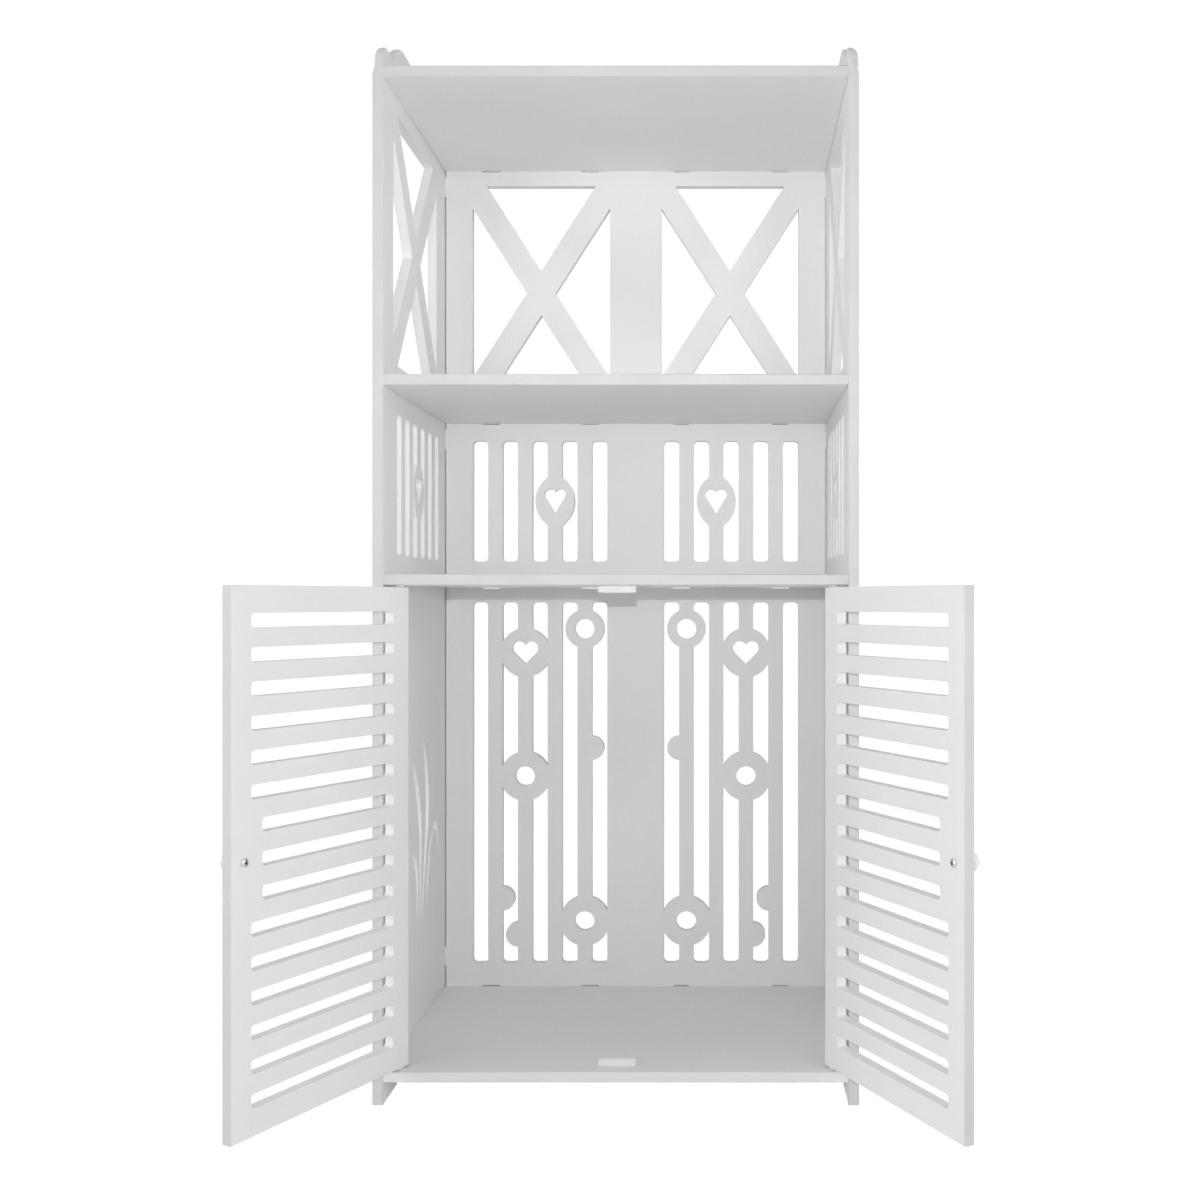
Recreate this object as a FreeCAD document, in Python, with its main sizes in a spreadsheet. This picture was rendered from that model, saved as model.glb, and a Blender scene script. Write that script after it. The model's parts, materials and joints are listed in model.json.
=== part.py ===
"""Louvred door cabinet: a white foam-board carcass with two slotted doors on pivot pins.

Millimetres. X runs to the right, Y to the back and Z up from the floor. The doors stand open as they
rest, and the origin is on the floor under the middle of the box that holds the open cabinet.
"""
import FreeCAD, Part
import math
import os
import Sketcher
from types import SimpleNamespace

DRIVING_SIZES = {
    # Carcass
    "cabinet_width": 450.0,
    "cabinet_depth": 280.0,
    "board": 10.0,
    "foot_height": 21.0,
    "foot_length": 52.0,
    "lower_opening": 450.0,
    "middle_opening": 175.0,
    "upper_opening": 275.0,
    "back_floor_gap": 10.0,
    # Crest of the side panels, above the top board
    "post_rise": 21.5,
    "post_round": 15.0,
    "crest_rise": 44.0,
    "crest_start": 81.0,
    "crest_radius": 56.0,
    # Tabs and the screws that hold the boards
    "joint_fit": 0.2,
    "shelf_tab_length": 18.0,
    "shelf_tab_inset": 51.6,
    "back_tab_length": 22.0,
    "back_tab_drop": 18.0,
    "back_tab_lift": 34.0,
    "screw_radius": 2.0,
    "screw_head_radius": 4.0,
    "screw_length": 38.0,
    "screw_inset": 45.0,
    "screw_fit": 0.1,
    "bore_end_room": 0.5,
    # Upright slots of the back and the sides
    "slot_width": 17.2,
    "slot_round": 4.5,
    "back_slots_in_half": 5.0,
    "back_slot_centre_margin": 32.0,
    "back_slot_side_margin": 31.2,
    "side_slots": 6.0,
    "side_slot_front_margin": 51.3,
    "side_slot_back_margin": 35.7,
    "middle_slot_margin": 19.5,
    "lower_slot_foot_margin": 26.0,
    "lower_slot_head_margin": 17.0,
    # Crossed windows
    "window_margin": 16.7,
    "back_window_centre_margin": 29.0,
    "back_window_side_margin": 31.0,
    "side_window_front_margin": 38.0,
    "side_window_back_margin": 43.0,
    "arm_width": 27.0,
    # Hearts, rings and buds on the bars
    "oval_half_width": 22.2,
    "oval_half_height": 31.4,
    "tall_heart_width": 24.0,
    "tall_heart_height": 28.0,
    "tall_heart_lobe": 6.4,
    "wide_heart_width": 29.0,
    "wide_heart_height": 25.5,
    "wide_heart_lobe": 7.7,
    "ring_radius": 28.0,
    "small_ring_radius": 22.0,
    "ring_hole_radius": 11.0,
    "bud_radius": 13.6,
    "heart_ring_drop": 73.5,
    "small_ring_drop": 46.5,
    "middle_ring_lift": 237.0,
    "low_ring_lift": 73.3,
    "high_bud_lift": 268.8,
    "outer_bud_lift": 98.6,
    "inner_bud_lift": 58.0,
    # Grass blades of the sides: places from the middle of the depth, heights from the base board
    "blade_root_width": 4.5,
    "blade_root_lift": 107.0,
    "centre_blade_root": 21.0,
    "centre_blade_knee": 38.0,
    "centre_blade_knee_lift": 174.0,
    "centre_blade_knee_width": 9.0,
    "centre_blade_tip": 24.0,
    "centre_blade_lift": 294.0,
    "centre_blade_hollow": 9.0,
    "centre_blade_belly": 19.0,
    "front_blade_root": 13.0,
    "front_blade_knee": 15.0,
    "front_blade_knee_lift": 184.0,
    "front_blade_knee_width": 8.0,
    "front_blade_tip": -32.0,
    "front_blade_lift": 281.0,
    "front_blade_hollow": 7.0,
    "front_blade_belly": 17.0,
    "short_blade_root": 0.5,
    "short_blade_knee": 0.5,
    "short_blade_knee_lift": 147.0,
    "short_blade_knee_width": 7.0,
    "short_blade_tip": -31.0,
    "short_blade_lift": 184.0,
    "short_blade_hollow": 3.0,
    "short_blade_belly": 11.0,
    "bent_blade_root": 39.0,
    "bent_blade_knee": 55.5,
    "bent_blade_knee_lift": 164.0,
    "bent_blade_knee_width": 7.0,
    "bent_blade_apex": 88.0,
    "bent_blade_apex_lift": 197.0,
    "bent_blade_thickness": 11.0,
    "bent_blade_tip": 94.0,
    "bent_blade_tip_lift": 152.0,
    "bent_blade_bow": 6.0,
    "bent_blade_curl": 8.0,
    "bent_blade_inner_curl": 4.0,
    # Doors
    "hinge_gap": 1.7,
    "meeting_gap": 1.6,
    "door_gap": 2.0,
    "pivot_from_edge": 11.0,
    "pivot_setback": 9.0,
    "open_angle": 117.5,
    "door_slots_in_bank": 6.0,
    "short_door_slots": 3.0,
    "door_slot_height": 10.2,
    "door_slot_margin": 23.3,
    "door_slot_round": 3.0,
    "hinge_stile": 25.0,
    "free_stile": 21.7,
    "knob_stile": 33.3,
    # Pivot pins
    "pin_radius": 2.5,
    "pin_seat": 20.0,
    "pin_tip": 7.0,
    "pin_collar_radius": 4.5,
    "pin_fit": 0.05,
    # Knobs and their screws
    "knob_from_edge": 13.4,
    "knob_height": 13.0,
    "knob_radius": 8.0,
    "knob_widest": 8.2,
    "knob_foot_radius": 5.6,
    "knob_neck_radius": 4.4,
    "knob_neck_height": 3.4,
    "knob_foot_hollow": 0.6,
    "knob_head_swell": 1.2,
    "knob_screw_radius": 2.0,
    "knob_screw_reach": 7.0,
    "knob_screw_head_radius": 3.7,
    "knob_screw_head_height": 2.2,
    "knob_screw_rim": 1.1,
    # Door stops
    "stop_length": 35.0,
    "stop_height": 7.3,
    "stop_depth": 12.0,
    "stop_gap": 0.4,
}

SHEET = "Sizes"
FULL_TURN = 360
HALF_TURN = 180
QUARTER_TURN = 90
COUNTERSINK_ANGLE = 90


class Term:
    """A size worked out from the sheet: its number, and the expression that gives that number."""

    def __init__(self, value, text):
        self.value = value
        self.text = text

    def join(self, sign, other, value):
        return Term(value, f"({self.text} {sign} {other.text})")

    def __add__(self, other):
        other = as_term(other)
        return self.join("+", other, self.value + other.value)

    def __sub__(self, other):
        other = as_term(other)
        return self.join("-", other, self.value - other.value)

    def __mul__(self, other):
        other = as_term(other)
        return self.join("*", other, self.value * other.value)

    def __truediv__(self, other):
        other = as_term(other)
        return self.join("/", other, self.value / other.value)

    def __rsub__(self, other):
        return as_term(other) - self

    def __neg__(self):
        return 0 - self

    __radd__ = __add__
    __rmul__ = __mul__


def as_term(number):
    return number if isinstance(number, Term) else Term(float(number), f"({float(number)})")


def root(term):
    return Term(math.sqrt(term.value), f"sqrt({term.text})")


def sine(degrees):
    return Term(math.sin(math.radians(degrees.value)), f"sin({degrees.text})")


def cosine(degrees):
    return Term(math.cos(math.radians(degrees.value)), f"cos({degrees.text})")


def fill_sheet(document):
    """Put the driving sizes in the sheet and give them back as terms."""
    sheet = document.addObject("Spreadsheet::Sheet", SHEET)
    terms = {}
    for row, (name, number) in enumerate(DRIVING_SIZES.items(), start=1):
        cell = f"A{row}"
        sheet.set(cell, str(number))
        sheet.setAlias(cell, name)
        terms[name] = Term(number, f"{SHEET}.{name}")
    document.recompute()
    return SimpleNamespace(**terms)


def derive(s):
    """Work out the places that several pieces share."""
    s.inner_half = s.cabinet_width / 2 - s.board
    s.inner_depth = s.cabinet_depth - s.board
    s.base_top = s.foot_height + s.board
    s.lower_shelf_bottom = s.base_top + s.lower_opening
    s.lower_shelf_top = s.lower_shelf_bottom + s.board
    s.upper_shelf_bottom = s.lower_shelf_top + s.middle_opening
    s.upper_shelf_top = s.upper_shelf_bottom + s.board
    s.top_board_bottom = s.upper_shelf_top + s.upper_opening
    s.top_board_top = s.top_board_bottom + s.board
    s.crest_top = s.top_board_top + s.crest_rise
    s.post_top = s.top_board_top + s.post_rise
    s.board_bottoms = (s.foot_height, s.lower_shelf_bottom, s.upper_shelf_bottom, s.top_board_bottom)
    s.back_tab_heights = (
        s.base_top + s.back_tab_lift,
        s.upper_shelf_bottom - s.back_tab_drop,
        s.top_board_bottom - s.back_tab_drop,
    )
    s.shelf_tab_places = (s.shelf_tab_inset, s.inner_half - s.shelf_tab_inset)
    s.screw_depths = (s.screw_inset, s.inner_depth - s.screw_inset)
    s.middle_slot_foot = s.lower_shelf_top + s.middle_slot_margin
    s.middle_slot_head = s.upper_shelf_bottom - s.middle_slot_margin
    s.middle_heart_height = (s.lower_shelf_top + s.upper_shelf_bottom) / 2
    s.window_foot = s.upper_shelf_top + s.window_margin
    s.window_head = s.top_board_bottom - s.window_margin
    s.pivot_inset = s.hinge_gap + s.pivot_from_edge
    s.pivot_x = s.inner_half - s.pivot_inset
    s.door_width = s.inner_half - s.hinge_gap - s.meeting_gap / 2
    s.free_edge = s.door_width - s.pivot_from_edge
    s.door_bottom = s.base_top + s.door_gap
    s.door_top = s.lower_shelf_bottom - s.door_gap
    s.knob_x = s.free_edge - s.knob_from_edge
    s.knob_z = (s.door_bottom + s.door_top) / 2
    s.pin_bore_radius = s.pin_radius + s.pin_fit
    s.knob_bore_radius = s.knob_screw_radius + s.screw_fit
    reach = s.free_edge * sine(s.open_angle) - s.board / 2 * cosine(s.open_angle) - s.pivot_setback
    s.front_y = (reach - s.cabinet_depth) / 2


class Drawing:
    """A sketch whose corners, centres and radii are each tied to the sheet."""

    def __init__(self, body, name, plane, offset=None):
        self.sketch = body.newObject("Sketcher::SketchObject", name)
        support = next(item for item in body.Origin.OriginFeatures if item.Role == plane)
        self.sketch.AttachmentSupport = (support, [""])
        self.sketch.MapMode = "FlatFace"
        if offset is not None:
            self.sketch.setExpression("AttachmentOffset.Base.z", offset.text)
        self.edges = []
        self.rules = []
        self.ties = {}

    def tie(self, term, kind, *places):
        self.ties[len(self.rules)] = term.text
        self.rules.append(Sketcher.Constraint(kind, *places, term.value))

    def tie_point(self, x, y, edge, end):
        self.tie(as_term(x), "DistanceX", -1, 1, edge, end)
        self.tie(as_term(y), "DistanceY", -1, 1, edge, end)

    def circle(self, x, y, radius):
        centre = FreeCAD.Vector(as_term(x).value, as_term(y).value, 0)
        self.edges.append(Part.Circle(centre, FreeCAD.Vector(0, 0, 1), radius.value))
        edge = len(self.edges) - 1
        self.tie_point(x, y, edge, 3)
        self.tie(radius, "Radius", edge)

    def loop(self, *corners):
        """A closed line through corners (x, y) or (x, y, radius, turn).

        Radius and turn bend the edge that leaves the corner: turn 1 is anticlockwise, -1 clockwise.
        """
        first = len(self.edges)
        points = [FreeCAD.Vector(as_term(c[0]).value, as_term(c[1]).value, 0) for c in corners]
        ends = []
        for number, corner in enumerate(corners):
            start = points[number]
            finish = points[(number + 1) % len(points)]
            if len(corner) == 2:
                self.edges.append(Part.LineSegment(start, finish))
                ends.append((1, 2))
                continue
            radius, turn = corner[2:]
            self.edges.append(arc_between(start, finish, radius.value, turn))
            ends.append((1, 2) if turn > 0 else (2, 1))
            self.tie(radius, "Radius", first + number)
        for number, corner in enumerate(corners):
            after = (number + 1) % len(corners)
            joint = (first + number, ends[number][1], first + after, ends[after][0])
            self.rules.append(Sketcher.Constraint("Coincident", *joint))
            self.tie_point(corner[0], corner[1], first + number, ends[number][0])

    def rectangle(self, left, low, right, high):
        self.loop((left, low), (right, low), (right, high), (left, high))

    def rounded(self, left, low, right, high, radius):
        self.loop(
            (left + radius, low),
            (right - radius, low, radius, 1),
            (right, low + radius),
            (right, high - radius, radius, 1),
            (right - radius, high),
            (left + radius, high, radius, 1),
            (left, high - radius),
            (left, low + radius, radius, 1),
        )

    def finish(self):
        self.sketch.addGeometry(self.edges, False)
        self.sketch.addConstraint(self.rules)
        for number, text in self.ties.items():
            self.sketch.setExpression(f"Constraints[{number}]", text)
        return self.sketch


def arc_between(start, finish, radius, turn):
    """The shorter arc from start to finish, as the anticlockwise arc that a sketch keeps."""
    chord = finish - start
    inward = FreeCAD.Vector(-chord.y, chord.x, 0) * (turn / chord.Length)
    centre = start + chord * 0.5 + inward * math.sqrt(radius**2 - chord.Length**2 / 4)
    low, high = (start, finish) if turn > 0 else (finish, start)
    angles = [math.atan2(p.y - centre.y, p.x - centre.x) for p in (low, high)]
    return Part.ArcOfCircle(Part.Circle(centre, FreeCAD.Vector(0, 0, 1), radius), *angles)


def bow_radius(x0, y0, x1, y1, bow):
    """The radius of an arc over a chord that it leaves by bow at its middle."""
    across = x1 - x0
    up = y1 - y0
    return (across * across + up * up) / (8 * bow) + bow / 2


def cap_radius(half_width, rise):
    """The radius of an arc that is square to its axis at the crown and half_width off it below."""
    return (half_width * half_width + rise * rise) / (2 * rise)


def new_body(document, label):
    body = document.addObject("PartDesign::Body", label)
    body.Label = label
    return body


def pad(body, name, sketch, length, both_ways=False, taper=0):
    feature = body.newObject("PartDesign::Pad", name)
    feature.Profile = sketch
    feature.setExpression("Length", length.text)
    feature.TaperAngle = taper
    if both_ways:
        feature.SideType = "Symmetric"
    body.Document.recompute()
    return feature


def pocket(body, name, sketch, depth=None, along_normal=False):
    """Cut a sketch through the whole body, or to a depth, and see that something was cut."""
    before = body.Shape.Volume
    feature = body.newObject("PartDesign::Pocket", name)
    feature.Profile = sketch
    if depth is None:
        feature.Type = "ThroughAll"
        feature.SideType = "Symmetric"
    else:
        feature.setExpression("Length", depth.text)
        feature.Reversed = along_normal
    body.Document.recompute()
    if body.Shape.Volume >= before:
        raise RuntimeError(f"{body.Label}: {name} cuts nothing")
    return feature


def mirror(body, name, features, plane="YZ_Plane"):
    feature = body.newObject("PartDesign::Mirrored", name)
    feature.Originals = features
    support = next(item for item in body.Origin.OriginFeatures if item.Role == plane)
    feature.MirrorPlane = (support, [""])
    body.Tip = feature
    body.Document.recompute()
    return feature


def repeat(body, name, feature, sketch, axis, pitch, count):
    """Repeat a feature along an axis of its sketch."""
    row = body.newObject("PartDesign::LinearPattern", name)
    row.Originals = [feature]
    row.Direction = (sketch, [axis])
    row.Occurrences = round(count.value)
    row.setExpression("Occurrences", count.text)
    row.setExpression("Length", (pitch * (count - 1)).text)
    body.Tip = row
    body.Document.recompute()
    return row


def revolve(body, name, sketch):
    feature = body.newObject("PartDesign::Revolution", name)
    feature.Profile = sketch
    feature.ReferenceAxis = (sketch, ["V_Axis"])
    feature.Angle = FULL_TURN
    body.Document.recompute()
    return feature


def place(body, **axes):
    for axis, term in axes.items():
        body.setExpression(f"Placement.Base.{axis}", term.text)


def place_on(body, carrier, x, y, z, tilt=0):
    """Place a body in the frame of the door that carries it, tilted about that frame's X axis."""
    spot = f"create(<<vector>>; {as_term(x).text}; {as_term(y).text}; {as_term(z).text})"
    turn = f"create(<<rotation>>; create(<<vector>>; 1; 0; 0); {tilt})"
    body.setExpression("Placement", f"{carrier.Name}.Placement * create(<<placement>>; {spot}; {turn})")


def crossed_window(drawing, s, left, low, right, high):
    """Four triangles between two crossed arms that run from corner to corner of a window."""
    width = right - left
    height = high - low
    diagonal = root(width * width + height * height)
    sideways = s.arm_width * diagonal / (2 * height)
    upward = s.arm_width * diagonal / (2 * width)
    middle_x = (left + right) / 2
    middle_z = (low + high) / 2
    drawing.loop((left + sideways, high), (middle_x, middle_z + upward), (right - sideways, high))
    drawing.loop((left + sideways, low), (right - sideways, low), (middle_x, middle_z - upward))
    drawing.loop((left, low + upward), (middle_x - sideways, middle_z), (left, high - upward))
    drawing.loop((right, low + upward), (right, high - upward), (middle_x + sideways, middle_z))


def upright_slot(drawing, s, left, low, high):
    drawing.rounded(left, low, left + s.slot_width, high, s.slot_round)


def slot_pitch(s, count, start, end):
    return (end - start - s.slot_width) / (count - 1)


def bar_middle(s, count, start, end, number):
    """The middle of the bar that follows a slot, with the first slot as number 0."""
    pitch = slot_pitch(s, count, start, end)
    return start + (s.slot_width + pitch) / 2 + number * pitch


def oval(drawing, s, x, z):
    """A pointed oval whose two points lie in the bar that carries it."""
    radius = cap_radius(s.oval_half_height, s.oval_half_width)
    drawing.loop((x, z - s.oval_half_height, radius, 1), (x, z + s.oval_half_height, radius, 1))


def heart(drawing, x, z, width, height, lobe):
    """A heart centred on x, z: two round lobes, and two straight sides that leave them and meet in a point."""
    half = width / 2
    point = z - height / 2
    shoulder = z + height / 2 - lobe
    across = half - lobe
    upward = height - lobe
    notch = shoulder + root(lobe * lobe - across * across)
    reach = across * across + upward * upward
    side = root(reach - lobe * lobe)
    side_x = side * (across * side + upward * lobe) / reach
    side_z = point + side * (upward * side - across * lobe) / reach
    drawing.loop(
        (x, notch, lobe, -1),
        (x + half, shoulder, lobe, -1),
        (x + side_x, side_z),
        (x, point),
        (x - side_x, side_z, lobe, -1),
        (x - half, shoulder, lobe, -1),
    )


def blade_stem(s, name):
    """The root and the knee of a grass blade, each as its front and rear corners."""
    sizes = vars(s)
    middle = s.inner_depth / 2
    root_z = s.base_top + s.blade_root_lift
    knee_z = s.base_top + sizes[f"{name}_blade_knee_lift"]
    root_x = middle + sizes[f"{name}_blade_root"]
    knee_x = middle + sizes[f"{name}_blade_knee"]
    half_root = s.blade_root_width / 2
    half_knee = sizes[f"{name}_blade_knee_width"] / 2
    roots = ((root_x - half_root, root_z), (root_x + half_root, root_z))
    knees = ((knee_x - half_knee, knee_z), (knee_x + half_knee, knee_z))
    return roots, knees


def blade(drawing, s, name):
    """A grass blade: a straight stem to the knee, then two bowed edges that meet in a point."""
    sizes = vars(s)
    roots, knees = blade_stem(s, name)
    tip = (s.inner_depth / 2 + sizes[f"{name}_blade_tip"], s.base_top + sizes[f"{name}_blade_lift"])
    belly = bow_radius(*knees[1], *tip, sizes[f"{name}_blade_belly"])
    hollow = bow_radius(*knees[0], *tip, sizes[f"{name}_blade_hollow"])
    drawing.loop(*roots, (*knees[1], belly, 1), (*tip, hollow, -1), knees[0])


def bent_blade(drawing, s):
    """A blade that rises, folds over and hangs down to a point."""
    roots, knees = blade_stem(s, "bent")
    apex = (s.inner_depth / 2 + s.bent_blade_apex, s.base_top + s.bent_blade_apex_lift)
    under = (apex[0], apex[1] - s.bent_blade_thickness)
    tip = (s.inner_depth / 2 + s.bent_blade_tip, s.base_top + s.bent_blade_tip_lift)
    drawing.loop(
        *roots,
        (*knees[1], bow_radius(*knees[1], *under, s.bent_blade_bow), -1),
        (*under, bow_radius(*under, *tip, s.bent_blade_inner_curl), -1),
        (*tip, bow_radius(*tip, *apex, s.bent_blade_curl), 1),
        (*apex, bow_radius(*apex, *knees[0], s.bent_blade_bow), 1),
        knees[0],
    )


def screw_circles(drawing, s, radius):
    for bottom in s.board_bottoms:
        for depth in s.screw_depths:
            drawing.circle(depth, bottom + s.board / 2, radius)


def side_panel(document, s, label, side):
    """A side panel with its feet and crest. Side is -1 for the left panel and 1 for the right one."""
    body = new_body(document, label)
    outline = Drawing(body, f"{label}_outline", "YZ_Plane")
    crest_fall = s.crest_radius - s.crest_rise + s.post_rise
    cusp = s.crest_start - root(s.crest_radius * s.crest_radius - crest_fall * crest_fall)
    outline.loop(
        (0, 0),
        (s.foot_length, 0),
        (s.foot_length, s.foot_height),
        (s.cabinet_depth - s.foot_length, s.foot_height),
        (s.cabinet_depth - s.foot_length, 0),
        (s.cabinet_depth, 0),
        (s.cabinet_depth, s.crest_top),
        (s.crest_start, s.crest_top, s.crest_radius, 1),
        (cusp, s.post_top),
        (s.post_round, s.post_top, s.post_round, 1),
        (0, s.post_top - s.post_round),
    )
    pad(body, f"{label}_board", outline.finish(), s.board)

    window = Drawing(body, f"{label}_window", "YZ_Plane")
    window_rear = s.inner_depth - s.side_window_back_margin
    crossed_window(window, s, s.side_window_front_margin, s.window_foot, window_rear, s.window_head)
    pocket(body, f"{label}_window_cut", window.finish())

    grass = Drawing(body, f"{label}_grass", "YZ_Plane")
    for name in ("centre", "front", "short"):
        blade(grass, s, name)
    bent_blade(grass, s)
    pocket(body, f"{label}_grass_cut", grass.finish())

    notches = Drawing(body, f"{label}_notches", "YZ_Plane")
    half_notch = s.back_tab_length / 2 + s.joint_fit
    notch_front = s.inner_depth - s.joint_fit
    notch_rear = s.cabinet_depth + s.joint_fit
    for height in s.back_tab_heights:
        notches.rectangle(notch_front, height - half_notch, notch_rear, height + half_notch)
    pocket(body, f"{label}_notch_cut", notches.finish())

    row = (s.side_slots, s.side_slot_front_margin, s.inner_depth - s.side_slot_back_margin)
    slot = Drawing(body, f"{label}_slot", "YZ_Plane")
    upright_slot(slot, s, s.side_slot_front_margin, s.middle_slot_foot, s.middle_slot_head)
    cut = pocket(body, f"{label}_slot_cut", slot.finish())
    repeat(body, f"{label}_slots", cut, slot.sketch, "H_Axis", slot_pitch(s, *row), s.side_slots)

    middle_bar = round(s.side_slots.value) // 2 - 1
    heart_x = bar_middle(s, *row, middle_bar)
    plate = Drawing(body, f"{label}_heart_plate", "YZ_Plane")
    oval(plate, s, heart_x, s.middle_heart_height)
    pad(body, f"{label}_heart_oval", plate.finish(), s.board)
    hole = Drawing(body, f"{label}_heart", "YZ_Plane")
    heart_sizes = (s.tall_heart_width, s.tall_heart_height, s.tall_heart_lobe)
    heart(hole, heart_x, s.middle_heart_height, *heart_sizes)
    pocket(body, f"{label}_heart_cut", hole.finish())

    bores = Drawing(body, f"{label}_screw_places", "YZ_Plane", s.board if side > 0 else None)
    screw_circles(bores, s, s.screw_radius)
    holes = body.newObject("PartDesign::Hole", f"{label}_screw_holes")
    holes.Profile = bores.finish()
    document.recompute()
    holes.Reversed = side < 0
    holes.ThreadType = "None"
    holes.DepthType = "ThroughAll"
    holes.setExpression("Diameter", (2 * (s.screw_radius + s.screw_fit)).text)
    holes.HoleCutType = "Countersink"
    holes.HoleCutCustomValues = True
    holes.setExpression("HoleCutDiameter", (2 * (s.screw_head_radius + s.screw_fit)).text)
    holes.HoleCutCountersinkAngle = COUNTERSINK_ANGLE
    place(body, x=s.inner_half if side > 0 else -(s.cabinet_width / 2), y=s.front_y)
    return body


def back_panel(document, s):
    body = new_body(document, "back_panel")
    outline = Drawing(body, "back_outline", "XZ_Plane")
    half = s.inner_half
    right_edge = [(half, s.back_floor_gap)]
    for height in s.back_tab_heights:
        low = height - s.back_tab_length / 2
        high = height + s.back_tab_length / 2
        right_edge += [(half, low), (half + s.board, low), (half + s.board, high), (half, high)]
    right_edge.append((half, s.crest_top))
    left_edge = [(-x, z) for x, z in reversed(right_edge)]
    outline.loop(*right_edge, *left_edge)
    pad(body, "back_board", outline.finish(), s.board)

    row = (s.back_slots_in_half, s.back_slot_centre_margin, half - s.back_slot_side_margin)
    slot_foot = s.base_top + s.lower_slot_foot_margin
    slot_head = s.lower_shelf_bottom - s.lower_slot_head_margin
    first_slots = Drawing(body, "back_first_slots", "XZ_Plane")
    for left in (s.back_slot_centre_margin, s.back_slot_side_margin - half):
        upright_slot(first_slots, s, left, s.middle_slot_foot, s.middle_slot_head)
        upright_slot(first_slots, s, left, slot_foot, slot_head)
    cut = pocket(body, "back_first_slot_cut", first_slots.finish())
    pitch = slot_pitch(s, *row)
    repeat(body, "back_slots", cut, first_slots.sketch, "H_Axis", pitch, s.back_slots_in_half)

    window = Drawing(body, "back_window", "XZ_Plane")
    window_side = half - s.back_window_side_margin
    crossed_window(window, s, s.back_window_centre_margin, s.window_foot, window_side, s.window_head)
    right_window = pocket(body, "back_window_cut", window.finish())
    mortises = Drawing(body, "back_mortises", "XZ_Plane")
    reach = s.shelf_tab_length / 2 + s.joint_fit
    for bottom in s.board_bottoms:
        top = bottom + s.board + s.joint_fit
        for middle in s.shelf_tab_places:
            mortises.rectangle(middle - reach, bottom - s.joint_fit, middle + reach, top)
    right_mortises = pocket(body, "back_mortise_cut", mortises.finish())
    mirror(body, "back_cut_outs_left", [right_window, right_mortises])

    inner_bar = bar_middle(s, *row, 0)
    heart_bar = bar_middle(s, *row, 1)
    outer_bar = bar_middle(s, *row, 2)
    half_bar = (pitch - s.slot_width) / 2
    heart_ring_z = s.lower_shelf_bottom - s.heart_ring_drop
    small_ring_z = s.lower_shelf_bottom - s.small_ring_drop
    bud_slot_inner = outer_bar + half_bar
    bud_slot_outer = bud_slot_inner + s.slot_width
    plates = Drawing(body, "back_ornament_plates", "XZ_Plane")
    oval(plates, s, heart_bar, s.middle_heart_height)
    plates.circle(outer_bar, heart_ring_z, s.ring_radius)
    plates.circle(outer_bar, s.base_top + s.middle_ring_lift, s.ring_radius)
    plates.circle(inner_bar, small_ring_z, s.small_ring_radius)
    plates.circle(inner_bar, s.base_top + s.low_ring_lift, s.ring_radius)
    plates.circle(inner_bar - half_bar, s.base_top + s.high_bud_lift, s.bud_radius)
    plates.circle(bud_slot_outer, s.base_top + s.outer_bud_lift, s.bud_radius)
    plates.circle(bud_slot_inner, s.base_top + s.inner_bud_lift, s.bud_radius)
    plate = pad(body, "back_ornament", plates.finish(), s.board)
    holes = Drawing(body, "back_ornament_holes", "XZ_Plane")
    tall = (s.tall_heart_width, s.tall_heart_height, s.tall_heart_lobe)
    heart(holes, heart_bar, s.middle_heart_height, *tall)
    wide = (s.wide_heart_width, s.wide_heart_height, s.wide_heart_lobe)
    heart(holes, outer_bar, heart_ring_z, *wide)
    holes.circle(outer_bar, s.base_top + s.middle_ring_lift, s.ring_hole_radius)
    holes.circle(inner_bar, small_ring_z, s.ring_hole_radius)
    holes.circle(inner_bar, s.base_top + s.low_ring_lift, s.ring_hole_radius)
    pierce = pocket(body, "back_ornament_cut", holes.finish())
    mirror(body, "back_ornament_left", [plate, pierce])
    place(body, y=s.front_y + s.cabinet_depth)
    return body


def cross_board(document, s, label, bottom, pivot_face=None):
    """A board between the sides. Pivot_face is the face, 1 upper or -1 lower, that holds pivot bores."""
    body = new_body(document, label)
    outline = Drawing(body, f"{label}_outline", "XY_Plane")
    outline.rectangle(-s.inner_half, 0, s.inner_half, s.inner_depth)
    pad(body, f"{label}_board", outline.finish(), s.board)
    tabs = Drawing(body, f"{label}_tab_outline", "XY_Plane")
    for middle in s.shelf_tab_places:
        for place_x in (middle, -middle):
            left = place_x - s.shelf_tab_length / 2
            right = place_x + s.shelf_tab_length / 2
            tabs.rectangle(left, s.inner_depth - s.board, right, s.cabinet_depth)
    pad(body, f"{label}_tabs", tabs.finish(), s.board)
    pilots = Drawing(body, f"{label}_pilot_places", "YZ_Plane", s.inner_half)
    for depth in s.screw_depths:
        pilots.circle(depth, s.board / 2, s.screw_radius + s.screw_fit)
    pilot_depth = s.screw_length - s.board + s.bore_end_room
    pilot = pocket(body, f"{label}_pilots_right", pilots.finish(), pilot_depth)
    mirror(body, f"{label}_pilots_left", [pilot])
    if pivot_face is not None:
        bores = Drawing(body, f"{label}_pivots", "XY_Plane", s.board if pivot_face > 0 else None)
        for place_x in (s.pivot_x, -s.pivot_x):
            bores.circle(place_x, s.pivot_setback, s.pin_bore_radius)
        pocket(body, f"{label}_pivot_bores", bores.finish(), s.pin_tip + s.bore_end_room, pivot_face < 0)
    place(body, y=s.front_y, z=bottom)
    return body


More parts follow.
